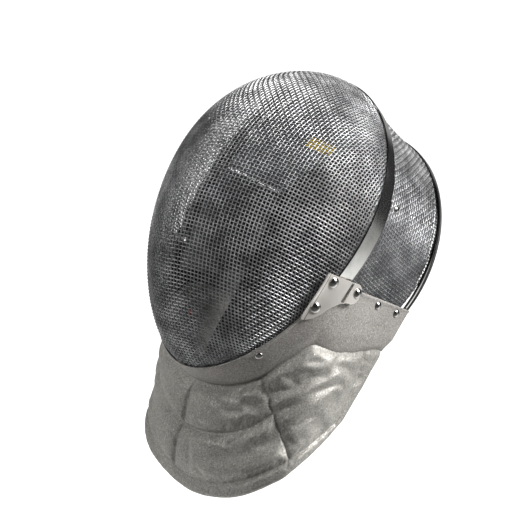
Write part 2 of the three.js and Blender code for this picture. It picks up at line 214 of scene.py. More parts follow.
# Materials: a socket that takes part in sums, and the tree of nodes that it belongs to.
class Value:
    def __init__(self, paint, socket):
        self.paint = paint
        self.socket = socket

    def __add__(self, other):
        return self.paint.maths("ADD", self, other)

    def __radd__(self, other):
        return self.paint.maths("ADD", other, self)

    def __sub__(self, other):
        return self.paint.maths("SUBTRACT", self, other)

    def __rsub__(self, other):
        return self.paint.maths("SUBTRACT", other, self)

    def __mul__(self, other):
        return self.paint.maths("MULTIPLY", self, other)

    def __rmul__(self, other):
        return self.paint.maths("MULTIPLY", other, self)


def colour(tone):  # from a socket, three channels or one number for a grey
    if isinstance(tone, Value):
        return tone
    return (*tone, 1) if isinstance(tone, tuple) else (tone, tone, tone, 1)


class Shading:
    def __init__(self, tree):
        self.tree = tree
        tree.nodes.clear()

    def feed(self, socket, value):
        if isinstance(value, Value):
            self.tree.links.new(value.socket, socket)
        else:
            socket.default_value = value

    def node(self, kind, settings=None, inputs=None, output=0):
        made = self.tree.nodes.new(kind)
        for name, value in (settings or {}).items():
            setattr(made, name, value)
        pairs = inputs.items() if isinstance(inputs, dict) else enumerate(inputs or [])
        for name, value in pairs:
            self.feed(made.inputs[name], value)
        return Value(self, made.outputs[output]) if made.outputs else None

    def maths(self, operation, *values):
        return self.node("ShaderNodeMath", {"operation": operation}, values)

    def clamp(self, value, low, high):  # 0 below low and 1 above high
        return self.node("ShaderNodeMapRange", {"interpolation_type": "SMOOTHSTEP"},
                         {"Value": value, "From Min": low, "From Max": high})

    def objectSpace(self):
        return self.node("ShaderNodeTexCoord", output="Object")

    def attribute(self, name):
        return self.node("ShaderNodeAttribute", {"attribute_name": name}, output="Fac")

    def scaled(self, vector, factors):
        return self.node("ShaderNodeMapping", inputs={"Vector": vector, "Scale": factors})

    def noise(self, vector, scale, detail=2.0, rough=0.5):
        return self.node("ShaderNodeTexNoise",
                         inputs={"Vector": vector, "Scale": scale, "Detail": detail, "Roughness": rough})

    def dot(self, first, second):
        return self.node("ShaderNodeVectorMath", {"operation": "DOT_PRODUCT"}, [first, second], "Value")

    def mix(self, factor, first, second):  # colours
        return self.node("ShaderNodeMix", {"data_type": "RGBA"},
                         {0: factor, 6: colour(first), 7: colour(second)}, output=2)

    def finish(self, shader, kind="ShaderNodeOutputMaterial"):
        self.node(kind, inputs={"Surface": shader})


class Paint(Shading):
    def __init__(self, name, **uniform):  # uniform: numbers that are the same all over
        self.material = bpy.data.materials.new(name)
        self.material.use_nodes = True
        super().__init__(self.material.node_tree)
        self.surface = self.tree.nodes.new("ShaderNodeBsdfPrincipled")
        self.finish(Value(self, self.surface.outputs[0]))
        for socket, number in uniform.items():
            self.set(socket.replace("_", " "), number)

    def set(self, socket, value):
        self.feed(self.surface.inputs[socket], value)

    def coat(self, base, roughness, height, strength, distance):  # height, strength and distance of the bump
        self.set("Base Color", base)
        self.set("Roughness", roughness)
        self.set("Normal", self.node("ShaderNodeBump", inputs={
            "Height": height, "Strength": strength, "Distance": distance}))
        return self.material


wireLook = {"bright": (0.6, 0.6, 0.605), "dull": (0.26, 0.26, 0.265), "roughness": 0.28, "edge": 0.6}


def paintWire():
    paint = Paint("galvanised_wire", Metallic=0.85, Specular_IOR_Level=0.15,
                  Specular_Tint=colour(wireLook["edge"]))
    spot = paint.objectSpace()
    grain = paint.noise(spot, 900, 2)
    tone = paint.clamp(paint.noise(spot, 60, 3) * 0.7 + grain * 0.3, 0.35, 0.65)
    return paint.coat(paint.mix(tone, wireLook["dull"], wireLook["bright"]),
                      wireLook["roughness"] + 0.18 * grain, grain, 0.15, 0.0002)


stripLook = {"tone": (0.9, 0.89, 0.86), "smudge": (0.7, 0.7, 0.68), "roughness": 0.14,
             "edge": 0.02, "blend": 0.03}


def paintStrip(name, low, high):  # polished between low and high of its width, painted shadow beside it
    paint = Paint(name, Metallic=1.0)
    spot = paint.objectSpace()
    smudge = paint.clamp(paint.noise(spot, 38, 4), 0.45, 0.75)
    brushed = paint.noise(paint.scaled(spot, (60, 900, 900)), 1, 2)
    down, blend = paint.attribute("down"), stripLook["blend"]
    inside = paint.clamp(down, low - blend, low + blend)
    inside = inside * paint.clamp(1 - down, 1 - high - blend, 1 - high + blend)
    polish = paint.mix(smudge, stripLook["tone"], stripLook["smudge"])
    # outside low and high the edge tone is painted shadow where the strip meets the wires and edging
    return paint.coat(paint.mix(inside, stripLook["edge"], polish),
                      stripLook["roughness"] + 0.12 * smudge + 0.06 * brushed, brushed, 0.05, 0.0001)


plateLook = {"tone": (0.95, 0.905, 0.85), "worn": (0.8, 0.76, 0.71), "roughness": 0.32,
             "foldFrom": (-4, -32.5), "foldTo": (5, -70.5), "foldIn": 2.0, "foldWide": 0.35,
             "foldShadowTone": (0.12, 0.11, 0.1)}


def paintPlate():  # satin, with painted shadow where its front edge folds over
    paint = Paint("satin_nickel", Metallic=0.6)
    spot = paint.objectSpace()
    cloud = paint.noise(spot, 45, 4)
    fine = paint.noise(paint.scaled(spot, (1, 1, 0.15)), 1400, 2)
    scratch = paint.clamp(paint.noise(paint.scaled(spot, (1, 0.08, 1)), 700, 1), 0.66, 0.74)
    base = paint.mix(paint.clamp(cloud, 0.4, 0.8), plateLook["tone"], plateLook["worn"])
    start, end = (backAxis * back + riseAxis * rise - seat
                  for back, rise in (plateLook["foldFrom"], plateLook["foldTo"]))
    way = (end - start) / np.linalg.norm(end - start)
    inward = np.cross(acrossAxis, way)  # lies in the plate, square to its front edge
    inward = inward if inward @ backAxis > 0 else -inward
    depth = paint.dot(spot, inward) - float(start @ inward + plateLook["foldIn"]) * mm
    wide = plateLook["foldWide"] * mm
    # painted shadow: a thin dark stripe along the step of the folded front edge
    foldShadow = 1 - paint.clamp(paint.maths("ABSOLUTE", depth), wide / 2, wide)
    return paint.coat(paint.mix(foldShadow, base, plateLook["foldShadowTone"]),
                      plateLook["roughness"] + 0.1 * cloud + 0.12 * scratch,
                      fine * 0.5 + scratch * 0.5, 0.08, 0.0001)


domeLook = {"tone": (0.6, 0.59, 0.57), "mark": (0.4, 0.39, 0.37), "roughness": 0.04}


def paintDome():
    paint = Paint("rivet_steel", Metallic=1.0)
    marks = paint.noise(paint.objectSpace(), 600, 3)
    return paint.coat(paint.mix(paint.clamp(marks, 0.5, 0.8), domeLook["tone"], domeLook["mark"]),
                      domeLook["roughness"] + 0.08 * marks, marks, 0.05, 0.0002)


edgingLook = {"tone": (0.018, 0.018, 0.02), "rubbed": (0.06, 0.06, 0.062), "roughness": 0.5}


def paintEdging():
    paint = Paint("black_edging")
    grain = paint.noise(paint.objectSpace(), 500, 3)
    return paint.coat(paint.mix(paint.clamp(grain, 0.5, 0.75), edgingLook["tone"], edgingLook["rubbed"]),
                      edgingLook["roughness"] + 0.15 * grain, grain, 0.2, 0.0003)


clothLook = {"tone": (0.56, 0.54, 0.5), "shade": (0.26, 0.25, 0.225), "spark": (0.78, 0.77, 0.74),
             "metal": 0.4, "roughness": 0.48, "grain": 700, "thread": 1500}
# crease: painted shade toward the chin band's lower edge, starting at creaseFrom
bandLook = {**clothLook, "tone": (0.54, 0.515, 0.485), "shade": (0.26, 0.245, 0.225),
            "creaseShade": (0.14, 0.132, 0.12), "creaseFrom": 0.72, "inside": (0.06, 0.06, 0.065)}


def paintCloth(name, look):  # silver cloth: fine metal threads with a soft grain
    paint = Paint(name, Sheen_Weight=0.15, Sheen_Roughness=0.4)
    spot = paint.objectSpace()
    grain = paint.noise(spot, look["grain"], 3, 0.6)
    thread = paint.noise(paint.scaled(spot, (1, 1, 0.35)), look["thread"], 2)
    tone = paint.clamp(grain * 0.6 + thread * 0.2 + paint.noise(spot, 26, 3) * 0.2, 0.34, 0.66)
    spark = paint.clamp(paint.noise(spot, look["grain"] * 1.6, 1), 0.62, 0.72)
    base = paint.mix(spark, paint.mix(tone, look["shade"], look["tone"]), look["spark"])
    metal = look["metal"] + 0.3 * spark
    if "inside" in look:  # painted shade, darker toward the lower edge, and plain dark lining on the inner side
        creaseShade = paint.clamp(paint.attribute("down"), look["creaseFrom"], 1)
        outer = paint.clamp(paint.attribute("outer"), 0.3, 0.5)
        base = paint.mix(outer, look["inside"], paint.mix(creaseShade * 0.75, base, look["creaseShade"]))
        metal = metal * outer
    paint.set("Metallic", metal)
    return paint.coat(base, look["roughness"] + 0.18 * grain - 0.2 * spark,
                      grain * 0.7 + thread * 0.3, 0.35, 0.0006)


softLook = {"sheen": 0.2, "sheenRoughness": 0.5, "roughness": 0.78, "bump": 0.4, "depth": 0.0005}


def softPaint(name, glow=0.0):
    return Paint(name, Sheen_Weight=softLook["sheen"], Sheen_Roughness=softLook["sheenRoughness"],
                 Emission_Strength=glow)


def softCoat(paint, base, weave):
    return paint.coat(base, softLook["roughness"] + 0.15 * weave, weave, softLook["bump"], softLook["depth"])


def paintSoft(name, tone, shade, scale=700, outsideAndEdgeShade=None, glow=0.0):  # plain woven lining
    paint = softPaint(name, glow)
    spot = paint.objectSpace()
    weave = paint.noise(spot, scale, 3)
    base = paint.mix(paint.clamp(weave * 0.6 + paint.noise(spot, 30, 3) * 0.4, 0.3, 0.7), shade, tone)
    if outsideAndEdgeShade:  # the side against the cage is dark cloth, carried over the pad's edges as painted shade
        base = paint.mix(paint.clamp(paint.attribute("outer"), 0.0, 0.15), base, outsideAndEdgeShade)
    if glow:  # makes up for the light that the cage takes away
        paint.set("Emission Color", base)
    return softCoat(paint, base, weave)


# light and dark: painted light on the upper part and painted shade on the lower part
backLook = {"light": (0.82, 0.86, 0.92), "dark": (0.025, 0.025, 0.027), "high": 0.012, "low": -0.032,
            "mottle": 0.09}


def paintBackLitAndShaded():  # mottled, with painted light above and painted shade in its lower half
    paint = softPaint("mottled_lining_lit_and_shaded")
    spot = paint.objectSpace()
    weave = paint.noise(spot, 700, 3)
    mottle = backLook["mottle"] * paint.noise(spot, 22, 2) - backLook["mottle"] / 2
    height = paint.node("ShaderNodeSeparateXYZ", inputs=[spot], output="Z")
    # painted light and shade by height, broken up by the mottle
    tone = paint.clamp(height + mottle, backLook["low"], backLook["high"])
    return softCoat(paint, paint.mix(tone * (0.75 + 0.5 * weave), backLook["dark"], backLook["light"]), weave)


insertLook = {"tone": (0.3, 0.2, 0.13), "shade": (0.035, 0.024, 0.017), "centre": 0.16, "edge": 0.42}


def paintInsert():  # lighter along its middle
    paint = Paint("brown_strip")
    grain = paint.noise(paint.objectSpace(), 900, 3)
    off = paint.maths("ABSOLUTE", paint.attribute("down") - 0.5)
    middle = 1 - paint.clamp(off, insertLook["centre"], insertLook["edge"])
    return paint.coat(paint.mix(middle * (0.7 + 0.5 * grain), insertLook["shade"], insertLook["tone"]),
                      0.45 + 0.3 * grain, grain, 0.3, 0.0003)


paints = {
    "cage_wire": paintWire(),
    "polished_steel": paintStrip("polished_steel", 0.04, 0.96),
    "rim_steel": paintStrip("rim_steel", 0.55, 0.82),
    "plate_steel": paintPlate(),
    "rivet_metal": paintDome(),
    "edging": paintEdging(),
    "bib_cloth": paintCloth("bib_lame", clothLook),
    "band_cloth": paintCloth("band_lame", bandLook),
    "pad_light": paintSoft("pale_lining", (0.72, 0.75, 0.8), (0.5, 0.53, 0.58), outsideAndEdgeShade=(0.05, 0.05, 0.054)),
    "pad_middle": paintSoft("grey_lining", (0.2, 0.205, 0.22), (0.1, 0.103, 0.11)),
    "pad_back": paintBackLitAndShaded(),
    "pad_dark": paintSoft("dark_lining", (0.3, 0.305, 0.32), (0.15, 0.153, 0.16)),
    "label_cloth": paintSoft("yellow_patch", (0.95, 0.68, 0.07), (0.8, 0.5, 0.03), 500, glow=0.4),
    "tag_cloth": paintSoft("red_patch", (0.55, 0.05, 0.07), (0.3, 0.02, 0.04), 500),
    "insert": paintInsert(),
}
print("materials made", len(paints))


# Meshes
def shadeSmooth(mesh, smoothFaces=True):
    mesh.polygons.foreach_set("use_smooth", [smoothFaces] * len(mesh.polygons))


def newObject(name, bm, paint, smoothFaces=True):
    mesh = bpy.data.meshes.new(name)
    bm.to_mesh(mesh)
    bm.free()
    shadeSmooth(mesh, smoothFaces)
    mesh.materials.append(paints[paint])
    made = bpy.data.objects.new(name, mesh)
    scene.collection.objects.link(made)
    return made


def settle(made, slot, *nodes):  # rides on the mask and stands for its CAD nodes
    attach(made, "root")
    if nodes:
        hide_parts(*nodes)
    return made


def modify(made, kind, **settings):
    modifier = made.modifiers.new(kind.lower(), kind)
    for name, value in settings.items():
        setattr(modifier, name, value)
    return modifier


def applied(made):  # the object with its modifiers worked into its mesh
    graph = bpy.context.evaluated_depsgraph_get()
    mesh = bpy.data.meshes.new_from_object(made.evaluated_get(graph), preserve_all_data_layers=True,
                                           depsgraph=graph)
    made.modifiers.clear()
    old = made.data
    made.data = mesh
    bpy.data.meshes.remove(old)
    mesh.name = made.name
    return made


def spots(verts):  # x, y and z of vertices, a row for each
    return np.array([vert.co[:] for vert in verts]).T


def pressedGrid(columns, rows, surface, lift):  # a flat grid laid on a surface, u and v from 0 to 1
    bm = bmesh.new()
    bmesh.ops.create_grid(bm, x_segments=columns, y_segments=rows, size=0.5)
    across = bm.verts.layers.float.new("across")
    down = bm.verts.layers.float.new("down")
    u, v = spots(bm.verts)[:2] + 0.5
    for vert, co, a, d in zip(bm.verts, lifted(surface, u, v, lift), u, v):
        vert.co = co
        vert[across], vert[down] = a, d
    return bm


def rank(part):  # keeps edges and faces in the same order in every run, for the simulation
    numbers = [vert.index for vert in part.verts]
    return min(numbers) * 1e6 + max(numbers)


def slab(columns, rows, surface, low, high):  # a closed sheet between two lifts
    bm = pressedGrid(columns, rows, surface, high)
    across, down = (bm.verts.layers.float[name] for name in ("across", "down"))
    outer = bm.verts.layers.float.new("outer")
    for vert in bm.verts:
        vert[outer] = 1
    grown = bmesh.ops.extrude_face_region(bm, geom=bm.faces[:], use_keep_orig=True)
    under = [part for part in grown["geom"] if isinstance(part, bmesh.types.BMVert)]
    u = np.array([vert[across] for vert in under])
    v = np.array([vert[down] for vert in under])
    for vert, co in zip(under, lifted(surface, u, v, low)):
        vert.co = co
        vert[outer] = 0
    bmesh.ops.recalc_face_normals(bm, faces=bm.faces)
    bm.verts.sort(key=lambda vert: vert[outer] * 1e6 + round(vert[down] * rows) * 1e3 + round(vert[across] * columns))
    bm.verts.index_update()
    bm.edges.sort(key=rank)
    bm.faces.sort(key=rank)
    return bm


def mirrored(made, name):  # the same piece on the other side
    bm = bmesh.new()
    bm.from_mesh(made.data)
    bmesh.ops.scale(bm, vec=(-1, 1, 1), verts=bm.verts)
    bmesh.ops.reverse_faces(bm, faces=bm.faces)
    return newObject(name, bm, made["paint"])


# Woven wire: a net of equal meshes laid over a surface, solved node by node from its middle.
weave = {"pitch": 3.2, "wire": 1.1, "crimp": 0.5, "sides": 6}
solving = {"small": 1e-4, "stride": 0.02, "longest": 0.03, "flattest": 1e-12,
           "middle": 12, "cross": 10, "rest": 7}  # the last three are rounds of improvement


def weaveNet(surface, start, halfAcross, halfAlong, limit):
    pitch = weave["pitch"] * mm
    small = solving["small"]
    side = np.full((halfAcross + 1, 2 * halfAlong + 1), np.nan)
    up = side.copy()
    side[0, halfAlong], up[0, halfAlong] = 0, start

    def slopes(a, b):
        return ((surface(b, a + small) - surface(b, a - small)) / (2 * small),
                (surface(b + small, a) - surface(b - small, a)) / (2 * small))

    for way in (1, -1):  # the middle wire
        b = start
        for j in range(1, halfAlong + 1):
            before = surface(b, 0.0)
            b += way * solving["stride"]
            for _ in range(solving["middle"]):
                here = surface(b, 0.0)
                gap = here - before
                far = np.linalg.norm(gap)
                b -= (far - pitch) / (gap @ slopes(0.0, b)[1] / far)
            side[0, halfAlong + way * j], up[0, halfAlong + way * j] = 0, b
            if not limit(0.0, b):
                break
    a, b = 0.0, start  # the cross wire, straight on the surface
    last = surface(b, a) - slopes(a, b)[0] * 1e-6
    for i in range(1, halfAcross + 1):
        here = surface(b, a)
        way = (here - last) / np.linalg.norm(here - last)
        last = here
        target = here + way * pitch
        for _ in range(solving["cross"]):
            da, db = slopes(a, b)
            gap = target - surface(b, a)
            step = np.linalg.solve([[da @ da, da @ db], [da @ db, db @ db]], [da @ gap, db @ gap])
            a, b = a + step[0], b + step[1]
            way = surface(b, a) - here
            target = here + way / np.linalg.norm(way) * pitch
        side[i, halfAlong], up[i, halfAlong] = a, b
        if not limit(a, b):
            break
    for way in (1, -1):  # the rest, one slanting row of nodes at a time
        for row in range(2, halfAcross + halfAlong + 1):
            i = np.arange(max(1, row - halfAlong), min(halfAcross, row - 1) + 1)
            j = row - i
            left = (i - 1, halfAlong + way * j)
            below = (i, halfAlong + way * (j - 1))
            corner = (i - 1, halfAlong + way * (j - 1))
            a = side[left] + side[below] - side[corner]
            b = up[left] + up[below] - up[corner]
            good = np.isfinite(a) & limit(side[left], up[left]) & limit(side[below], up[below])
            if not good.any():
                continue
            a, b = a[good], b[good]
            ends = [surface(up[k][good], side[k][good]) for k in (left, below)]
            for _ in range(solving["rest"]):
                here = surface(b, a)
                da, db = slopes(a, b)
                gaps = [here - end for end in ends]
                miss = [(gap**2).sum(-1) - pitch**2 for gap in gaps]
                (m11, m12), (m21, m22) = ((2 * (gap * da).sum(-1), 2 * (gap * db).sum(-1)) for gap in gaps)
                det = m11 * m22 - m12 * m21
                det = np.where(np.abs(det) < solving["flattest"], solving["flattest"], det)
                stepA = (miss[0] * m22 - miss[1] * m12) / det
                stepB = (miss[1] * m11 - miss[0] * m21) / det
                far = np.maximum(np.hypot(stepA, stepB) / solving["longest"], 1)
                a, b = a - stepA / far, b - stepB / far
            node = (i[good], halfAlong + way * j[good])
            side[node], up[node] = a, b
    side = np.concatenate([-side[:0:-1], side])
    up = np.concatenate([up[:0:-1], up])
    return side, up


def wires(name, surface, net, limit, running):  # one family of wires, running "across" or "along"
    side, up = net
    countAcross, countAlong = side.shape
    flatSide, flatUp = np.nan_to_num(side, nan=9.0), np.nan_to_num(up, nan=9.0)
    i, j = np.indices(side.shape)
    sign = 1 if running == "across" else -1
    lift = sign * weave["crimp"] * (-1.0) ** (i + j)
    placed = lifted(surface, flatUp, flatSide, lift)
    kept = np.isfinite(side) & limit(flatSide, flatUp)
    bm = bmesh.new()
    bmesh.ops.create_grid(bm, x_segments=countAcross - 1, y_segments=countAlong - 1, size=0.5)
    cells = [(round((vert.co.x + 0.5) * (countAcross - 1)), round((vert.co.y + 0.5) * (countAlong - 1)))
             for vert in bm.verts]
    for vert, cell in zip(bm.verts, cells):
        vert.co = placed[cell]
    bm.verts.index_update()
    fixed = 1 if running == "across" else 0  # the index that stays the same along a wire
    cross = [edge for edge in bm.edges
             if cells[edge.verts[0].index][fixed] != cells[edge.verts[1].index][fixed]]
    dropped = [vert for vert, cell in zip(bm.verts, cells) if not kept[cell]]
    bmesh.ops.delete(bm, geom=bm.faces[:], context="FACES_ONLY")
    bmesh.ops.delete(bm, geom=cross, context="EDGES")
    bmesh.ops.delete(bm, geom=dropped, context="VERTS")
    bmesh.ops.delete(bm, geom=[vert for vert in bm.verts if not vert.link_edges], context="VERTS")
    return roundWire(newObject(name, bm, "cage_wire"), weave["wire"] / 2, weave["sides"])


def roundWire(made, radius, sides):  # turns a mesh of edges into round wires
    material = made.data.materials[0]
    bpy.ops.object.select_all(action="DESELECT")
    made.select_set(True)
    bpy.context.view_layer.objects.active = made
    bpy.ops.object.convert(target="CURVE")
    curve = made.data
    curve.bevel_depth = radius * mm
    curve.bevel_resolution = (sides - 4) // 2
    curve.use_fill_caps = True
    bpy.ops.object.convert(target="MESH")
    made.data.materials.clear()  # the conversions drop it
    made.data.materials.append(material)
    shadeSmooth(made.data)
    return made


faceWeave = {"halfAcross": 58, "halfAlong": 70, "reach": 1.045, "grow": 1.12}
backWeave = {"halfAcross": 86, "halfAlong": 28, "front": 9, "past": 0.5, "turn": 112, "spread": 6,
             "lastTurn": 125, "margin": 8}


def insideFace(side, up):
    return np.hypot(side, up) < faceWeave["grow"]


def keptFace(side, up):
    return np.hypot(side, up) < faceWeave["reach"]


def backSurface(depth, turn):  # the wall again, with its depth in hundredths
    return wallSurface(turn, np.asarray(depth) * 100)


def insideBack(turn, depth):
    depth, margin = np.asarray(depth) * 100, backWeave["margin"]
    near = (depth > -margin) & (depth < wallLength(np.asarray(turn)) + margin)
    return near & (np.abs(turn) < radians(backWeave["lastTurn"]))


def keptBack(turn, depth):
    depth = np.asarray(depth) * 100
    last = radians(backWeave["turn"]) + radians(backWeave["spread"]) * depth / 100
    within = (depth > backWeave["front"]) & (depth < wallLength(np.asarray(turn, float)) + backWeave["past"])
    return within & (np.abs(turn) < last)


cages = {
    # name: CAD node, surface, middle of the net, its sizes, where it is solved, where it is kept
    "face": ("mesh_front", faceSurface, 0.0, faceWeave, insideFace, keptFace),
    "back": ("mesh_back", backSurface, 0.5, backWeave, insideBack, keptBack),
}
for cage, (node, surface, start, size, inside, kept) in cages.items():
    net = weaveNet(surface, start, size["halfAcross"], size["halfAlong"], inside)
    for running in ("across", "along"):
        settle(wires(f"{cage}_wires_{running}", surface, net, kept, running), "cage_wire", node)
print("wires woven")


def signed(u):
    return 2 * u - 1


# Polished band over the crown, and the rear rim strip with its black edging.
strip = {"end": 103, "topWidth": 11, "sideWidth": 19, "narrow": (0.1, 0.85), "steel": 0.8, "gap": 0.5,
         "edge": 0.25, "columns": 180}
skin = shell["wall"] / 2 + strip["gap"]


def stripWidth(turn):
    side, top = strip["sideWidth"], strip["topWidth"]
    return side + (top - side) * smooth(np.cos(turn), *strip["narrow"])


def bandStrip(u, v):
    turn = signed(u) * radians(strip["end"])
    return wallSurface(turn, stripWidth(turn) * v)


def edgedSheet(name, columns, rows, surface, low, high, paint, edge):  # a sheet with rounded edges
    made = newObject(name, slab(columns, rows, surface, low, high), paint)
    modify(made, "BEVEL", width=edge * mm, segments=3, limit_method="ANGLE", angle_limit=radians(50))
    return applied(made)


def metalStrip(name, rows, surface, paint, node):
    made = edgedSheet(name, strip["columns"], rows, surface, skin, skin + strip["steel"], paint, strip["edge"])
    settle(made, "polished_steel", node)


metalStrip("band_strip", 12, bandStrip, "polished_steel", "side_band")

rearRim = {"end": 115, "width": 5, "edging": 2.0}


def rearStrip(u, v):
    turn = signed(u) * radians(rearRim["end"])
    return wallSurface(turn, wallLength(turn) - rearRim["width"] * (1 - v))


metalStrip("rim_strip", 8, rearStrip, "rim_steel", "rear_rim")


def makeEdging():
    turns = np.radians(np.linspace(-rearRim["end"], rearRim["end"], strip["columns"]))
    centres = wallSurface(turns, wallLength(turns) + rearRim["edging"] + strip["gap"])
    bm = bmesh.new()
    verts = [bm.verts.new(co) for co in centres]
    for first, second in zip(verts, verts[1:]):
        bm.edges.new((first, second))
    return roundWire(newObject("rim_edging", bm, "edging"), rearRim["edging"], 12)


settle(makeEdging(), "edging", "rear_edging")
print("bands made")

# Chin band with its ear flaps, and the quilted bib.
band = {"columns": 260, "rows": 36, "cloth": 1.4, "dip": 3.8, "dipFrom": 0.66, "roll": 0.75, "rollWidth": 1.3,
        "sway": 0.5, "swayScale": 42, "swayFrom": (0.05, 0.6), "flush": (0.3, 0.46),
        "thin": 0.5, "thinFrom": 0.9, "crowd": 0.7, "edge": 0.35}


def flush(share):  # where the bib meets the band in a soft valley
    return smooth(np.abs(share), *band["flush"])


def bandDown(v):  # rows crowd together at both edges
    return v - band["crowd"] * np.sin(2 * pi * v) / (2 * pi)


def swaying(points, scale):  # soft unevenness between -1 and 1
    return np.array([noise.noise(Vector(point) * scale) for point in points])


def bandHigh(u, v):
    share, down = signed(u), bandDown(v)
    length = np.linalg.norm(along(bandLow, share) - bandTop(share), axis=-1)
    roll = band["roll"] * np.exp(-((down * length - band["rollWidth"]) / band["rollWidth"]) ** 2)
    sway = band["sway"] * smooth(down, *band["swayFrom"])
    sway = sway * swaying(bandSurface(share, down), band["swayScale"])
    dip = band["dip"] * flush(share) * smooth(down, band["dipFrom"], 1)
    return skin + band["cloth"] + roll + sway - dip


def bandInner(u, v):
    return bandHigh(u, v) - band["cloth"] * (1 - band["thin"] * smooth(bandDown(v), band["thinFrom"], 1))


def bandMiddle(u, v):
    return bandSurface(signed(u), bandDown(v))


chinCloth = edgedSheet("chin_cloth", band["columns"], band["rows"], bandMiddle, bandInner, bandHigh,
                       "band_cloth", band["edge"])
settle(chinCloth, "band_cloth", "chin_band")

bibSizes = {"columns": 168, "rows": 54, "tuck": 0.1, "seamLift": -3.2, "puff": 4.6, "shoulder": 13,
            "border": 3.4, "lining": -6.4, "tuckLift": -3.0, "sideLift": -1.8, "tuckFade": (-0.08, -0.02),
            "frontRim": 0.053, "sideRim": 0.044, "riseFrom": (-0.01, -0.05), "riseTo": (0.11, 0.09),
            "edge": 3.6, "edgeDrop": 2.4, "edgeFrom": (0.05, 0.4), "foldClear": 6}
# seam paths over the bib, share and drop
seams = {
    "right": [(-0.363, 0.0), (-0.414, 0.17), (-0.469, 0.36), (-0.55, 0.6), (-0.659, 0.86)],
    "middle": [(0.06, 0.0), (0.09, 0.2), (0.1, 0.41), (0.15, 0.59), (0.172, 0.86)],
    "left": [(0.42, 0.0), (0.45, 0.17), (0.5, 0.36), (0.58, 0.6), (0.7, 0.86)],
    "level": [(0.1, 0.41), (-0.063, 0.405), (-0.221, 0.405), (-0.36, 0.4), (-0.43, 0.37), (-0.469, 0.36)],
    "levelLeft": [(0.1, 0.41), (0.3, 0.4), (0.5, 0.36)],
}
hemBorder = {"drop": 0.865, "side": 0.925}
bibSpan = (0.21, 0.11)  # half width and height of the bib, to weigh shares as lengths


def alongPath(u, v, path):  # distance from a path and place along it, in metres
    points = np.array(path) * bibSpan
    spots = np.stack([u, v], -1) * bibSpan
    best, spent = np.full(np.shape(u), 9.0), np.zeros(np.shape(u))
    length = 0
    for first, second in zip(points, points[1:]):
        way = second - first
        t = np.clip(((spots - first) @ way) / (way @ way), 0, 1)
        far = np.linalg.norm(spots - first - t[..., None] * way, axis=-1)
        spent = np.where(far < best, length + t * np.linalg.norm(way), spent)
        best = np.minimum(best, far)
        length += np.linalg.norm(way)
    return best, spent


def nearestSeam(share, drop):  # distance and place along the nearest seam, in metres
    hem = np.abs(drop - hemBorder["drop"]) * bibSpan[1]
    sides = np.abs(np.abs(share) - hemBorder["side"]) * bibSpan[0]
    rows = [(np.where(np.abs(share) < hemBorder["side"], hem, 9), share * bibSpan[0] + 3),
            (np.where(drop < hemBorder["drop"], sides, 9), drop * bibSpan[1] + 5)]
    rows += [alongPath(share, drop, path) for path in seams.values()]
    off, spent = (np.array(part) for part in zip(*rows))
    nearest = off.argmin(0)[None]
    return np.take_along_axis(off, nearest, 0)[0], (np.take_along_axis(spent, nearest, 0) + nearest)[0]


# Folds of the bib, each a path of share and drop, with its height and half width in millimetres.
folds = [
    # height, width, path
    (1.2, 6.5, [(-0.41, 0.03), (-0.55, 0.06), (-0.64, 0.1)]),
    (-2.4, 5.0, [(-0.371, 0.06), (-0.45, 0.18), (-0.53, 0.213), (-0.63, 0.248), (-0.73, 0.241)]),
    (1.2, 6.0, [(-0.5, 0.29), (-0.635, 0.31), (-0.777, 0.299), (-0.848, 0.35)]),
    (-1.8, 4.2, [(-0.479, 0.345), (-0.573, 0.372), (-0.648, 0.382), (-0.705, 0.375), (-0.82, 0.36)]),
    (1.4, 6.0, [(-0.53, 0.5), (-0.638, 0.49), (-0.72, 0.47), (-0.78, 0.44), (-0.87, 0.43)]),
    (-1.0, 4.5, [(-0.56, 0.565), (-0.66, 0.57), (-0.74, 0.565), (-0.82, 0.53)]),
    (-1.3, 5.5, [(-0.62, 0.723), (-0.721, 0.725), (-0.787, 0.7), (-0.847, 0.649), (-0.907, 0.6)]),
    (1.5, 6.0, [(-0.045, 0.46), (-0.14, 0.475), (-0.252, 0.485), (-0.357, 0.49), (-0.456, 0.475)]),
    (-1.8, 7.5, [(0.02, 0.61), (-0.137, 0.595), (-0.261, 0.59), (-0.382, 0.6), (-0.5, 0.63)]),
    (1.3, 6.5, [(-0.12, 0.72), (-0.239, 0.746), (-0.333, 0.78), (-0.425, 0.79), (-0.52, 0.78)]),
    (1.0, 6.5, [(-0.02, 0.07), (-0.134, 0.085), (-0.232, 0.1), (-0.36, 0.1)]),
    (-1.1, 6.5, [(-0.02, 0.2), (-0.161, 0.195), (-0.267, 0.205), (-0.369, 0.22)]),
    (-2.0, 5.0, [(-0.78, 0.21), (-0.86, 0.304), (-0.93, 0.4)]),
]
foldMirror = {"weight": 0.4, "from": (0.35, 0.5)}  # how strong they are on the far side, and from where


def bibDown(v):  # drop below the band, from behind its edge
    return v * (1 + bibSizes["tuck"]) - bibSizes["tuck"]


def foldLift(share, drop):
    lift = np.zeros(np.shape(share))
    for height, width, path in folds:
        for way, weight in ((1, 1), (-1, foldMirror["weight"] * smooth(share, *foldMirror["from"]))):
            off = alongPath(way * share, drop, path)[0] / mm
            lift = lift + height * np.exp(-(off / width) ** 2) * weight
    return lift


def bibBase(u, v):
    return bibSurface(signed(u), bibDown(v))


def toward(pair, share):  # from the front value to the side value
    return pair[0] + (pair[1] - pair[0]) * share


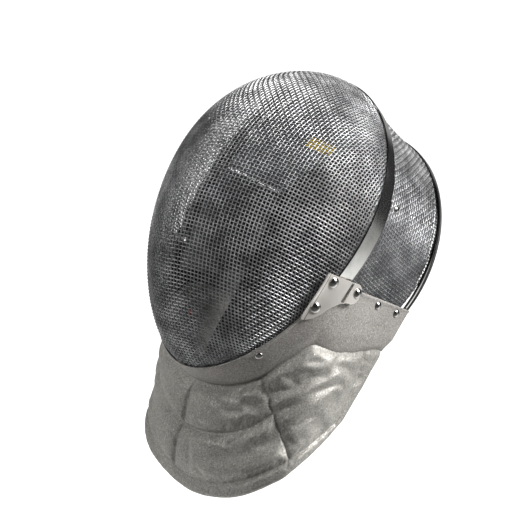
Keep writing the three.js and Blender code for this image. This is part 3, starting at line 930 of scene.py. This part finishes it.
def bibOuter(u, v):
    share, drop = signed(u), bibDown(v)
    off = nearestSeam(share, drop)[0] / mm
    inside = (drop < hemBorder["drop"]) & (np.abs(share) < hemBorder["side"])
    height = np.where(inside, bibSizes["puff"], bibSizes["border"])
    shoulder = 1 - np.clip(off / np.where(inside, bibSizes["shoulder"], bibSizes["shoulder"] / 2), 0, 1)
    lift = bibSizes["seamLift"] + height * np.sqrt(1 - shoulder**2)
    lift = lift + foldLift(share, drop) * smooth(off, 0, bibSizes["foldClear"])
    edge = np.minimum((1 - drop) * bibSpan[1], (1 - np.abs(share)) * bibSpan[0]) / mm / bibSizes["edge"]
    rounding = bibSizes["edgeDrop"] * smooth(drop, *bibSizes["edgeFrom"])
    lift = lift - rounding * (1 - np.sqrt(1 - (1 - np.clip(edge, 0, 1)) ** 2))
    side = flush(share)
    rim = side * (bibSizes["sideRim"] * smooth(np.abs(share), *flap["sideFrom"]) - bibSizes["frontRim"])
    under = drop - bandReach(share)
    below = smooth(under, rim + toward(bibSizes["riseFrom"], side), rim + toward(bibSizes["riseTo"], side))
    tucked = toward((bibSizes["tuckLift"], bibSizes["sideLift"]), side * smooth(under, *bibSizes["tuckFade"]))
    return tucked * (1 - below) + lift * below


bm = slab(bibSizes["columns"], bibSizes["rows"], bibBase, bibSizes["lining"], bibOuter)
bibCloth = newObject("bib_padding", bm, "bib_cloth")


def listed(collection, name, width):  # one property of every item, as rows
    flat = np.zeros(len(collection) * width, np.float32)
    collection.foreach_get(name, flat)
    return flat.reshape(-1, width).astype(float)


def layer(made, name):
    return listed(made.data.attributes[name].data, "value", 1)[:, 0]


def positions(made):
    return listed(made.data.vertices, "co", 3)


def move(made, coordinates):
    made.data.vertices.foreach_set("co", coordinates.astype(np.float32).ravel())
    made.data.update()


clothSettings = {"quality": 5, "mass": 0.3, "tension_stiffness": 18, "compression_stiffness": 18,
                 "shear_stiffness": 8, "bending_stiffness": 1.5, "use_pressure": True}
frames = 20
puffs = []


def stuff(made, hold, pressure, cap, grow=0.0):  # readies a piece for the simulation
    group = made.vertex_groups.new(name="held")
    for index, weight in enumerate(hold):
        if weight > 0.01:
            group.add([index], float(weight), "REPLACE")
    cloth = modify(made, "CLOTH")
    settings = cloth.settings
    for name, value in clothSettings.items():
        setattr(settings, name, value)
    settings.uniform_pressure_force = pressure
    settings.shrink_min = -grow
    settings.vertex_group_mass = "held"
    settings.effector_weights.gravity = 0
    cloth.point_cache.frame_start = 1
    cloth.point_cache.frame_end = frames
    puffs.append((made, positions(made), cap))


def bibPlaces():  # share, drop and outer side of every vertex of the bib
    return signed(layer(bibCloth, "across")), bibDown(layer(bibCloth, "down")), layer(bibCloth, "outer")


bibHold = {"seam": (0.0012, 0.0042), "top": (0, 0.04), "hem": (0.88, 0.96), "side": (0.93, 0.97),
           "border": 0.9, "far": (-0.02, 0.12), "farHold": 0.5}
share, drop, outer = bibPlaces()
held = 1 - smooth(nearestSeam(share, drop)[0], *bibHold["seam"])
for hold in (1 - smooth(drop - bandReach(share), *bibHold["top"]), 1 - outer,
             bibHold["border"] * smooth(drop, *bibHold["hem"]),
             bibHold["border"] * smooth(np.abs(share), *bibHold["side"]),
             bibHold["farHold"] * smooth(share, *bibHold["far"])):
    held = np.maximum(held, hold)
stuff(bibCloth, held, pressure=5.0, cap=3.0, grow=0.03)

# Lining pads.
pads = {
    # name: CAD node, turns from and to, columns, rows, paint
    "crown_lining": ("crown_pad", -70, 70, 70, 34, "pad_light"),
    "side_lining_left": ("side_pad_left", 71, 118, 26, 34, "pad_dark"),
    "side_lining_right": ("side_pad_right", -118, -71, 26, 34, "pad_dark"),
}
padSizes = {"thick": 8.5, "clear": 1.6, "start": 9, "stop": -0.5, "slack": 0.8, "edgeHold": 0.7}


def pillow(name, columns, rows, surface, low, high, paint, slot, node, pressure=5.0, cap=2.5):
    made = newObject(name, slab(columns, rows, surface, low, high), paint)
    across, down = layer(made, "across"), layer(made, "down")
    edge = np.minimum(np.minimum(across, 1 - across) * columns, np.minimum(down, 1 - down) * rows)
    stuff(made, np.where(edge < 0.5, padSizes["edgeHold"], 0.0), pressure, cap)
    settle(made, slot, node)
    return made


padOuter = -(shell["wall"] / 2 + padSizes["clear"])
padInner = padOuter - padSizes["thick"]
padLifts = (padInner + padSizes["slack"], padOuter - padSizes["slack"])
for name, (node, first, last, columns, rows, paint) in pads.items():
    def liner(u, v, first=first, last=last):
        turn = np.radians(first + (last - first) * u)
        start = padSizes["start"]
        return wallSurface(turn, start + (wallLength(turn) - start - padSizes["stop"]) * v)
    pillow(name, columns, rows, liner, *padLifts, paint, paint, node)

chinLining = {"from": 128, "sweep": 104, "start": 1.4, "deep": 34}


def chinPad(u, v):
    across, rise, back = np.moveaxis(rimAt(np.radians(chinLining["from"] + chinLining["sweep"] * u)), -1, 0)
    return place(across, rise, back + chinLining["start"] + chinLining["deep"] * v)


pillow("chin_lining", 60, 14, chinPad, *padLifts, "pad_middle", "pad_light", "chin_pad")

# Padded back of the lining.
# share from top to bottom, half width, rise, back
backPad = np.array([
    [0.00, 17, 133.8, 97.5],
    [0.10, 51, 120.5, 100.8],
    [0.25, 80.5, 85, 103.3],
    [0.42, 89, 36, 105],
    [0.58, 85, -10, 105],
    [0.72, 84, -50, 105],
    [0.88, 84, -100, 105],
    [0.97, 79, -127, 105],
    [1.00, 66, -133, 105],
])
backCurve = 0.0014
backLifts = (-6.2, -0.8)


def backSheet(u, v):
    halfWidth, rise, back = np.moveaxis(along(backPad, 1 - np.asarray(v)), -1, 0)
    across = np.abs(halfWidth) * signed(u)
    return place(across, rise, back - backCurve * across**2)


pillow("back_lining", 46, 64, backSheet, *backLifts, "pad_back", "pad_dark", "back_pad")

scene.frame_start, scene.frame_end = 1, frames
for step in range(1, frames + 1):
    scene.frame_set(step)
for made, before, cap in puffs:
    applied(made)
    after = positions(made)
    shift = after - before
    far = np.linalg.norm(shift, axis=1, keepdims=True)
    move(made, before + shift * np.minimum(1, cap * mm / np.maximum(far, 1e-9)))
    made.vertex_groups.clear()
    modify(made, "SUBSURF", levels=1, render_levels=1)
    applied(made)
    shadeSmooth(made.data)
    print("puffed", made.name, len(made.data.vertices), "largest", round(float(far.max()) / mm, 1), "mm")

stitching = {"groove": 0.8, "grooveWidth": 1.1, "pucker": 0.5, "puckerReach": 7, "puckerWaves": 170,
             "puckerAcross": 0.09, "wave": 0.35, "waveScale": 60}


def sewn(made):  # narrow grooves and puckers along the seams
    share, drop, outer = bibPlaces()
    off, spent = nearestSeam(share, drop)
    off = off / mm
    ripples = zip(spent * stitching["puckerWaves"], off * stitching["puckerAcross"])
    waves = np.array([noise.noise(Vector((s, o, 0))) for s, o in ripples])
    points = positions(made)
    lift = -stitching["groove"] * np.exp(-((off / stitching["grooveWidth"]) ** 2))
    lift = lift + stitching["pucker"] * waves * np.exp(-off / stitching["puckerReach"])
    lift = lift + stitching["wave"] * swaying(points, stitching["waveScale"]) * smooth(off, 0, 8)
    normals = listed(made.data.vertex_normals, "vector", 3)
    move(made, points + normals * (lift * outer * mm)[:, None])


sewn(bibCloth)
settle(bibCloth, "bib_cloth", "bib")


# Small cloth patches sewn to the lining.
label = {"turn": -35, "depth": 71.5, "length": 29, "width": 12, "slant": 14, "radius": 102}
tag = {"from": 0.937, "across": 0.026, "start": 0.72, "deep": 0.15}
patchLifts = (padInner - 1.1, padInner - 0.5)


def labelPatch(u, v):
    wide, long = label["width"] * (u - 0.5), label["length"] * (v - 0.5)
    c, s = cos(radians(label["slant"])), sin(radians(label["slant"]))
    return wallSurface(radians(label["turn"]) + (wide * c + long * s) / label["radius"],
                       label["depth"] + long * c - wide * s)


def tagPatch(u, v):
    return chinPad(tag["from"] + tag["across"] * u, tag["start"] + tag["deep"] * v)


patches = {
    # name: CAD node, surface, paint, pad below, flat size, flat area
    "label": ("label_patch", labelPatch, "label_cloth", "crown_lining", (0.012, 0.029), None),
    "tag": ("tag_red", tagPatch, "tag_cloth", "chin_lining", (0.0101, 0.0101), 0.000034),
}
for name, (node, surface, paint, under, flat, area) in patches.items():
    made = newObject(name, slab(16, 16, surface, *patchLifts), paint)
    settle(made, paint, node)

# Bracket plates.
plate = {"thick": 1.2, "lift": skin + band["cloth"] + 1.7, "bevel": 0.28, "cell": 2.5, "tip": -3.9,
         "rear": 100.2, "bow": 0.0016, "bowRise": -30, "blend": (2, 36), "rib": 0.25}
# outline of the plate: back, rise
plateOutline = [(-4, -32.5), (5, -70.5), (7.5, -73.5), (12, -72), (17, -65.5), (21, -55), (26, -47.5),
                (32, -43.8), (36.5, -42.3), (40, -38.5), (41.2, -33), (40, -27.6), (36.5, -25), (26, -26.8)]
slotBox = {"back": 26.6, "top": -27.6, "bottom": -46.0, "width": 3.0, "gap": 0.2, "foot": 26}


def plateBase(back, rise):
    turn = np.arccos(np.clip(rise / (shell["rimHeight"] / 2), -1, 1))
    front = rimAt(turn)[..., 0]
    rear = plate["rear"] - plate["bow"] * (rise - plate["bowRise"]) ** 2
    return place(front + (rear - front) * smooth(back, *plate["blend"]), rise, back)


def flatPlate(name, outlines, thick, bevel):  # a flat outline with holes, as a solid with rounded edges
    curve = bpy.data.curves.new(name, "CURVE")
    curve.dimensions = "2D"
    curve.fill_mode = "BOTH"
    curve.extrude = thick / 2 - bevel
    curve.bevel_depth = bevel
    curve.bevel_resolution = 2
    curve.offset = -bevel
    for points, rounded in outlines:
        spline = curve.splines.new("BEZIER")
        spline.bezier_points.add(len(points) - 1)
        spline.use_cyclic_u = True
        spline.resolution_u = 6
        for point, co in zip(spline.bezier_points, points):
            point.co = (*co, 0)
            kind = "AUTO" if rounded(co) else "VECTOR"
            point.handle_left_type = point.handle_right_type = kind
    drawn = bpy.data.objects.new(name + "_outline", curve)
    scene.collection.objects.link(drawn)
    graph = bpy.context.evaluated_depsgraph_get()
    mesh = bpy.data.meshes.new_from_object(drawn.evaluated_get(graph), depsgraph=graph)
    bm = bmesh.new()
    bm.from_mesh(mesh)
    bpy.data.objects.remove(drawn)
    bpy.data.curves.remove(curve)
    bpy.data.meshes.remove(mesh)
    bmesh.ops.remove_doubles(bm, verts=bm.verts, dist=0.01)
    return bm


def cutEvery(bm, cell):  # cuts a flat mesh in cells, so that it can bend
    for axis, ordinates in enumerate(spots(bm.verts)[:2]):
        for at in np.arange(ordinates.min() + cell / 2, ordinates.max(), cell):
            point, normal = [0, 0, 0], [0, 0, 0]
            point[axis], normal[axis] = at, 1
            bmesh.ops.bisect_plane(bm, geom=bm.verts[:] + bm.edges[:] + bm.faces[:],
                                   plane_co=point, plane_no=normal)


def bent(bm, surface, lift):  # lays a flat mesh on a surface given by back and rise
    back, rise, height = spots(bm.verts)
    for vert, co in zip(bm.verts, lifted(surface, back, rise, lift + height)):
        vert.co = co
    bmesh.ops.recalc_face_normals(bm, faces=bm.faces)


def makePlate():
    rounded = lambda co: co[0] > plate["tip"] and co[0] != slotBox["foot"]
    left, right = (slotBox["back"] + way * slotBox["width"] / 2 for way in (-1, 1))
    low, high = slotBox["bottom"], slotBox["top"]
    slot = [(left, low), (right, low), (right, high), (left, high)]
    outlines = [(plateOutline, rounded), (slot, lambda co: False)]
    bm = flatPlate("plate", outlines, plate["thick"], plate["bevel"])
    cutEvery(bm, plate["cell"])
    bent(bm, plateBase, plate["lift"] + plate["thick"] / 2)
    return newObject("plate_left", bm, "plate_steel", False)


def insertSurface(u, v):
    gap = slotBox["gap"]
    rise = slotBox["bottom"] + gap + (slotBox["top"] - slotBox["bottom"] - 2 * gap) * u
    return plateBase(slotBox["back"] + (slotBox["width"] / 2 - gap) * signed(v), rise)


def makeInsert():  # two raised edges and a rib between them
    high = lambda u, v: plate["lift"] + plate["rib"] * (2 + np.cos(2 * pi * signed(v)))
    return newObject("insert_left", slab(30, 12, insertSurface, plate["lift"] - 0.1, high), "insert")


for maker, paint, node in ((makePlate, "plate_steel", "bracket"), (makeInsert, "insert", "slot_insert")):
    left = maker()
    left["paint"] = paint
    right = mirrored(left, left.name.replace("left", "right"))
    for made, which in ((left, "left"), (right, "right")):
        modify(made, "WEIGHTED_NORMAL", keep_sharp=True)
        settle(made, paint, f"{node}_{which}")
print("plates made")

# Rivets and studs, each on its CAD node's axis.
dome = {
    # share of the radius, share of the height
    "profile": [(0, 0), (1.0, 0), (1.02, 0.1), (1.0, 0.22), (0.9, 0.42), (0.72, 0.66), (0.48, 0.86),
                (0.22, 0.97), (0, 1)],
    "steps": 32,
}


def makeDome(node):
    points = np.unique(np.round(positions(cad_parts[node]), 6), axis=0)
    middle = points.mean(0)
    axis = np.linalg.svd(points - middle)[2][2]
    axis = axis if axis[0] * middle[0] > 0 else -axis
    heights = (points - middle) @ axis
    height = heights.max() - heights.min()
    radius = np.linalg.norm(points - middle - np.outer(heights, axis), axis=1).max()
    bm = bmesh.new()
    verts = [bm.verts.new((r * radius, 0, h * height)) for r, h in dome["profile"]]
    edges = [bm.edges.new(pair) for pair in zip(verts, verts[1:])]
    bmesh.ops.spin(bm, geom=verts + edges, cent=(0, 0, 0), axis=(0, 0, 1), angle=2 * pi,
                   steps=dome["steps"], use_merge=True)
    bmesh.ops.remove_doubles(bm, verts=bm.verts, dist=1e-6)
    bmesh.ops.recalc_face_normals(bm, faces=bm.faces)
    turn = Vector((0, 0, 1)).rotation_difference(Vector(axis)).to_matrix().to_4x4()
    base = Vector(middle + axis * heights.min())
    bmesh.ops.transform(bm, matrix=Matrix.Translation(base) @ turn, verts=bm.verts)
    return newObject(node.replace("rivet", "dome").replace("stud", "dome_stud"), bm, "rivet_metal")


for node in sorted(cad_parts):
    if node.startswith(("rivet_", "stud_")):
        settle(makeDome(node), "rivet_metal", node)
print("rivets made")

# Camera, floor and light.
view = {"turn": 43.402, "tip": 4.637, "roll": 10.983, "distance": 1200, "pixelsPerMm": 1.138,
        "aside": -2.013, "above": -36.715, "frame": 520, "sensor": 36}


def makeCamera():
    turn, tip, roll = (radians(view[name]) for name in ("turn", "tip", "roll"))
    back = Vector((sin(turn) * cos(tip), -cos(turn) * cos(tip), sin(tip)))
    right = Vector((cos(turn), sin(turn), 0))
    up = back.cross(right)
    right, up = right * cos(roll) + up * sin(roll), up * cos(roll) - right * sin(roll)
    target = right * view["aside"] + up * view["above"] - Vector(seat)
    camera = bpy.data.cameras.new("camera")
    camera.sensor_width = view["sensor"]
    camera.lens = view["sensor"] * view["pixelsPerMm"] * view["distance"] / view["frame"]
    made = bpy.data.objects.new("camera", camera)
    axes = Matrix((right, up, back)).transposed().to_4x4()
    made.matrix_world = Matrix.Translation((target + back * view["distance"]) * mm) @ axes
    scene.collection.objects.link(made)
    scene.camera = made


stage = {"floorDrop": 0.5, "floorSize": 14, "floorTone": (0.85, 0.85, 0.84), "floorDark": 0.08,
         "floorFade": (-0.1, 0.5), "floorSoft": 0.15, "floorGlow": 1.2, "room": 0.2, "white": 1.2}
# soft light and dark areas of the studio, as the polished metal mirrors them
studio = {
    # name: direction, angle where it is full and where it ends, tone
    "backdrop": ((0.55, 0.7, -0.6), 25, 40, (0.62, 0.62, 0.6)),
    "left": ((-0.6, 0.75, 0.25), 20, 50, 0.3),
    "screen": ((0.22, 0.95, 0.2), 19, 30, (0.02, 0.02, 0.021)),
    "above": ((0.25, 0.1, 1.0), 12, 26, 0.35),
    "camera": ((0.6, -0.8, 0.2), 45, 75, 0.03),
}


def makeStage():
    bm = bmesh.new()
    bmesh.ops.create_grid(bm, x_segments=1, y_segments=1, size=stage["floorSize"])
    bmesh.ops.translate(bm, vec=(0, 0, cadBox[0].z - stage["floorDrop"]), verts=bm.verts)
    paint = Paint("floor", Roughness=0.9, Emission_Strength=stage["floorGlow"])
    seen = paint.node("ShaderNodeLightPath")
    turn = radians(view["turn"])
    ahead = paint.clamp(paint.dot(paint.objectSpace(), (sin(turn), -cos(turn), 0)), *stage["floorFade"])
    paint.set("Base Color", paint.mix(ahead, stage["floorTone"], stage["floorDark"]))
    paint.set("Emission Color", paint.mix(seen, paint.mix(ahead, stage["floorSoft"], 0), 1))
    paints["floor"] = paint.material
    newObject("floor", bm, "floor")
    scene.world = bpy.data.worlds.new("studio")
    scene.world.use_nodes = True
    sky = Shading(scene.world.node_tree)
    way = sky.node("ShaderNodeTexCoord", output="Generated")
    tone = stage["room"]
    for direction, full, end, shade in studio.values():
        facing = sky.dot(way, Vector(direction).normalized())
        tone = sky.mix(sky.clamp(facing, cos(radians(end)), cos(radians(full))), tone, shade)
    room = sky.node("ShaderNodeBackground", inputs={"Color": tone})
    white = sky.node("ShaderNodeBackground", inputs={"Color": (1, 1, 1, 1), "Strength": stage["white"]})
    sky.finish(sky.node("ShaderNodeMixShader", inputs=[sky.node("ShaderNodeLightPath"), room, white]),
               "ShaderNodeOutputWorld")


def softLight(name, power, size, spot, target):
    light = bpy.data.lights.new(name, "AREA")
    light.energy = power
    light.size = size
    made = bpy.data.objects.new(name, light)
    made.location = spot
    made.rotation_euler = (Vector(target) - Vector(spot)).to_track_quat("-Z", "Y").to_euler()
    scene.collection.objects.link(made)


makeCamera()
makeStage()
middle = (0, -0.05, -0.16)
lamps = {
    # name: power, size, place
    "key": (34, 0.6, (1.4, 0.35, 1.0)),
    "top": (12, 1.0, (0.1, 0.2, 1.6)),
    "fill": (44, 3.2, (-1.1, -3.4, 1.0)),
    "rear": (55, 1.8, (3.2, 1.5, 2.0)),
}
for name, (power, size, spot) in lamps.items():
    softLight(name, power, size, spot, middle)
scene.view_settings.view_transform = "Standard"
